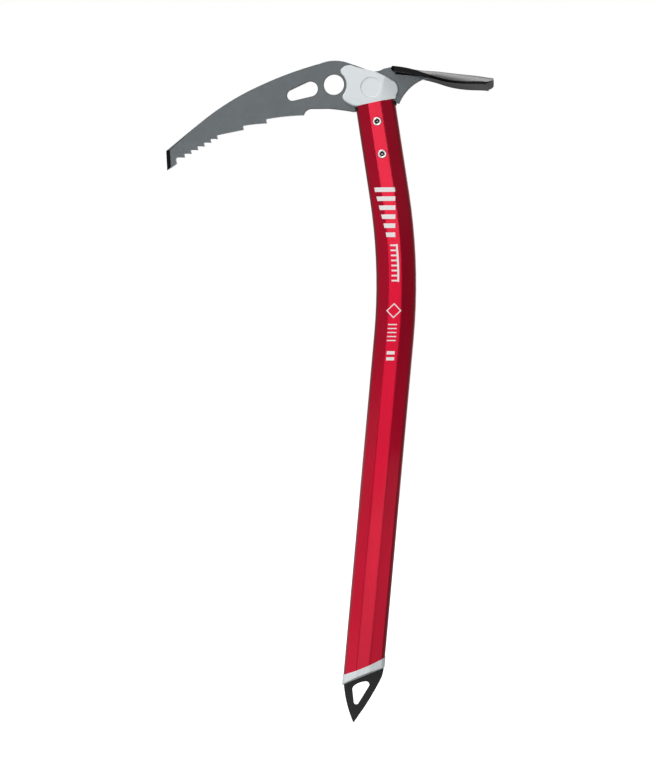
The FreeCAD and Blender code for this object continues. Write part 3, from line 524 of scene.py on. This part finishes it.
def soften_cover(side):
    """The outer edges are well rounded, and the recess a little. The edge of the mouth stays crisp."""
    name = "head_cover_" + side
    sign = -1.0 if side == "near" else 1.0
    shape = clean_copy(name)

    def on_outer_face(edge):
        outward = [face.normal.y * sign for face in edge.link_faces]
        nearest = min(vert.co.y * sign for vert in edge.verts)
        return max(outward) > 0.85 and min(outward) < 0.3 and nearest > OUTER_FACE_FROM

    def on_recess(edge):
        across, along = in_frame(HEAD_END, edge)
        from_centre = math.hypot(across - RECESS_ACROSS, along - RECESS_ALONG)
        return abs(from_centre - RECESS_RADIUS) < 0.0004

    def on_mouth(edge):
        across, along = in_frame(HEAD_END, edge)
        return along < 0.0 and across > MOUTH_LEFT

    round_edges(shape, lambda e: on_outer_face(e) and not on_recess(e) and not on_mouth(e), 0.0012, 5)
    round_edges(shape, lambda e: on_outer_face(e) and on_recess(e), 0.0003, 3)
    place_piece(shape, "cover_shell_" + side, name, crease=math.radians(50.0))


def soften_spike():
    """Every sharp edge of the spike is broken."""
    shape = clean_copy("spike_plate")
    round_edges(shape, sharp_corner, 0.0003, 2)
    place_piece(shape, "spike_blade", "spike_plate")


# The zone round the spike's slot in the ferrule's underside: half its size in Y and across the shaft.
SLOT_ZONE_Y = 0.0026
SLOT_ZONE_ACROSS = 0.0125
# The ferrule's lower rim is below this, in the frame of the shaft's lower end.
RIM_BELOW = 0.008


def on_lower_rim(edge):
    """Where an outer side of the ferrule turns under, away from the spike's slot."""
    lower, upper = sorted(face.normal.z for face in edge.link_faces)
    from_middle = abs(edge.verts[0].co.y + edge.verts[1].co.y) / 2
    across, along = in_frame(SPIKE_END, edge)
    beside_slot = from_middle > SLOT_ZONE_Y or abs(across) > SLOT_ZONE_ACROSS
    return lower < -0.6 and upper > -0.45 and beside_slot and along < RIM_BELOW


def soften_ferrule():
    """The lower rim is rounded, and the other edges are only broken."""
    shape = clean_copy("spike_ferrule")
    round_edges(shape, on_lower_rim, 0.0007, 4)
    round_edges(shape, sharp_corner, 0.0002, 2)
    place_piece(shape, "end_ferrule", "spike_ferrule")


# One end of a rivet, from its middle out and back to the shaft: a blunt core at the bottom of a bore,
# and a rolled flange round it. Each pair is a radius and a height above the shaft's flat face, in mm.
RIVET_PROFILE = [
    (0.0, -0.35), (0.3, -0.38), (0.52, -0.52), (0.64, -0.9), (0.75, -1.35), (1.2, -1.45), (1.52, -1.1),
    (1.6, -0.5), (1.66, 0.1), (1.8, 0.55), (2.05, 0.83), (2.38, 0.96), (2.68, 1.0), (2.95, 0.92),
    (3.18, 0.72), (3.34, 0.42), (3.4, 0.12), (3.3, 0.02), (2.5, 0.0),
]
RIVET_SEGMENTS = 64
FLANGE_HEIGHT = 0.001


def turn_rivet(name):
    """A whole rivet with that profile at both ends, turned about an axis along Y."""
    lowest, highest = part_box(name)
    centre = (lowest + highest) / 2
    face = highest.y - FLANGE_HEIGHT
    outline = [(radius / 1000, face + rise / 1000) for radius, rise in RIVET_PROFILE]
    outline += [(radius, -y) for radius, y in reversed(outline)]
    turns = [2 * math.pi * index / RIVET_SEGMENTS for index in range(RIVET_SEGMENTS)]
    spokes = [(math.cos(turn), math.sin(turn)) for turn in turns]
    shape = bmesh.new()
    poles = [shape.verts.new((centre.x, y, centre.z)) for _, y in (outline[0], outline[-1])]
    rings = []
    for radius, y in outline[1:-1]:
        places = [(centre.x + radius * x, y, centre.z + radius * z) for x, z in spokes]
        rings.append([shape.verts.new(place) for place in places])
    for index in range(RIVET_SEGMENTS):
        after = (index + 1) % RIVET_SEGMENTS
        shape.faces.new((poles[0], rings[0][index], rings[0][after]))
        shape.faces.new((poles[1], rings[-1][after], rings[-1][index]))
        for ring, following in zip(rings, rings[1:]):
            shape.faces.new((ring[index], following[index], following[after], ring[after]))
    bmesh.ops.recalc_face_normals(shape, faces=shape.faces)
    place_piece(shape, name + "_head", name, crease=math.radians(60.0))


soften_cover("near")
soften_cover("far")
soften_spike()
soften_ferrule()
turn_rivet("upper_rivet")
turn_rivet("lower_rivet")


# Stage: a pale floor under the spike, soft boxes and a pale surrounding. The floor glows, so that it's
# as white as the surrounding. It neither lights the axe nor shows in it, and it casts no shadow.

low, high = cad_box
bpy.ops.mesh.primitive_circle_add(vertices=96, radius=12.0, fill_type="NGON", location=(0.0, 0.0, low.z))
floor = bpy.context.object
floor.name = "floor"
paint = Material("pale_floor")
shade = paint.mix(paint.vary(paint.place, scale=3.0), (0.90, 0.90, 0.90), (0.94, 0.94, 0.94))
paint.finish(shade, 0.8, paint.vary(paint.place, scale=200.0), 0.0001,
             emission_color=(1.0, 1.0, 1.0, 1.0), emission_strength=0.8)
floor.data.materials.append(paint.data)
floor.visible_glossy = False
floor.visible_diffuse = False
floor.visible_shadow = False

# Soft boxes round the shaft: degrees from the front towards +X, distance, height, width, tallness, power.
# The front and the sides have a high, a middle and a low box, so that the light can change down the shaft.
SOFT_BOXES = {
    "front_high": (-5, 1.9, 0.12, 1.5, 0.35, 4.7),
    "front_middle": (-5, 1.9, -0.25, 1.5, 0.39, 1.45),
    "front_low": (-5, 1.9, -0.60, 1.5, 0.31, 2.75),
    "left_high": (-56, 0.9, -0.08, 0.72, 0.26, 0.19),
    "left_middle": (-56, 0.9, -0.34, 0.72, 0.26, 0.47),
    "left_low": (-56, 0.9, -0.62, 0.72, 0.30, 0.80),
    "left_rim": (-118, 0.9, -0.45, 0.9, 0.5, 0.45),
    "right_high": (46, 0.9, 0.14, 0.72, 0.30, 0.15),
    "right_middle": (46, 0.9, -0.20, 0.72, 0.38, 0.04),
    "right_low": (46, 0.9, -0.57, 0.72, 0.36, 0.66),
    "key": (-36, 1.36, 1.4, 1.2, 1.2, 21.0),
    "back_top": (178, 1.2, 1.3, 1.2, 0.9, 5.0),
    "back_bottom": (178, 0.9, -1.5, 1.2, 0.9, 0.5),
    "back_middle": (170, 2.2, -0.1, 1.6, 1.0, 4.0),
}
SHAFT_MIDDLE_X = 0.035


def soft_box(name, azimuth, distance, height, width, tallness, power):
    """A rectangular light that faces the shaft, level with it where the axe reaches its height."""
    light = bpy.data.lights.new(name, "AREA")
    light.shape = "RECTANGLE"
    light.size = width
    light.size_y = tallness
    light.energy = power
    lamp = bpy.data.objects.new(name, light)
    angle = math.radians(azimuth)
    lamp.location = (distance * math.sin(angle), -distance * math.cos(angle), height)
    aim = Vector((SHAFT_MIDDLE_X, 0.0, max(min(height, high.z), low.z)))
    lamp.rotation_euler = (aim - lamp.location).to_track_quat("-Z", "Y").to_euler()
    lamp.visible_camera = False
    scene.collection.objects.link(lamp)


for name, settings in SOFT_BOXES.items():
    soft_box(name, *settings)

# The surrounding: white to the camera, and dimmer as a light on the axe.
WHITE = (1.0, 1.0, 1.0, 1.0)
AMBIENT_LIGHT = 0.27

world = bpy.data.worlds.new("studio")
world.use_nodes = True
scene.world = world
tree = world.node_tree
tree.nodes.clear()
seen = add(tree, "LightPath").outputs["Is Camera Ray"]
backdrop = add(tree, "Background", {"Color": WHITE, "Strength": 1.0})
ambient = add(tree, "Background", {"Color": WHITE, "Strength": AMBIENT_LIGHT})
chosen = add(tree, "MixShader", {0: seen, 1: ambient.outputs[0], 2: backdrop.outputs[0]})
add(tree, "OutputWorld", {"Surface": chosen.outputs[0]})
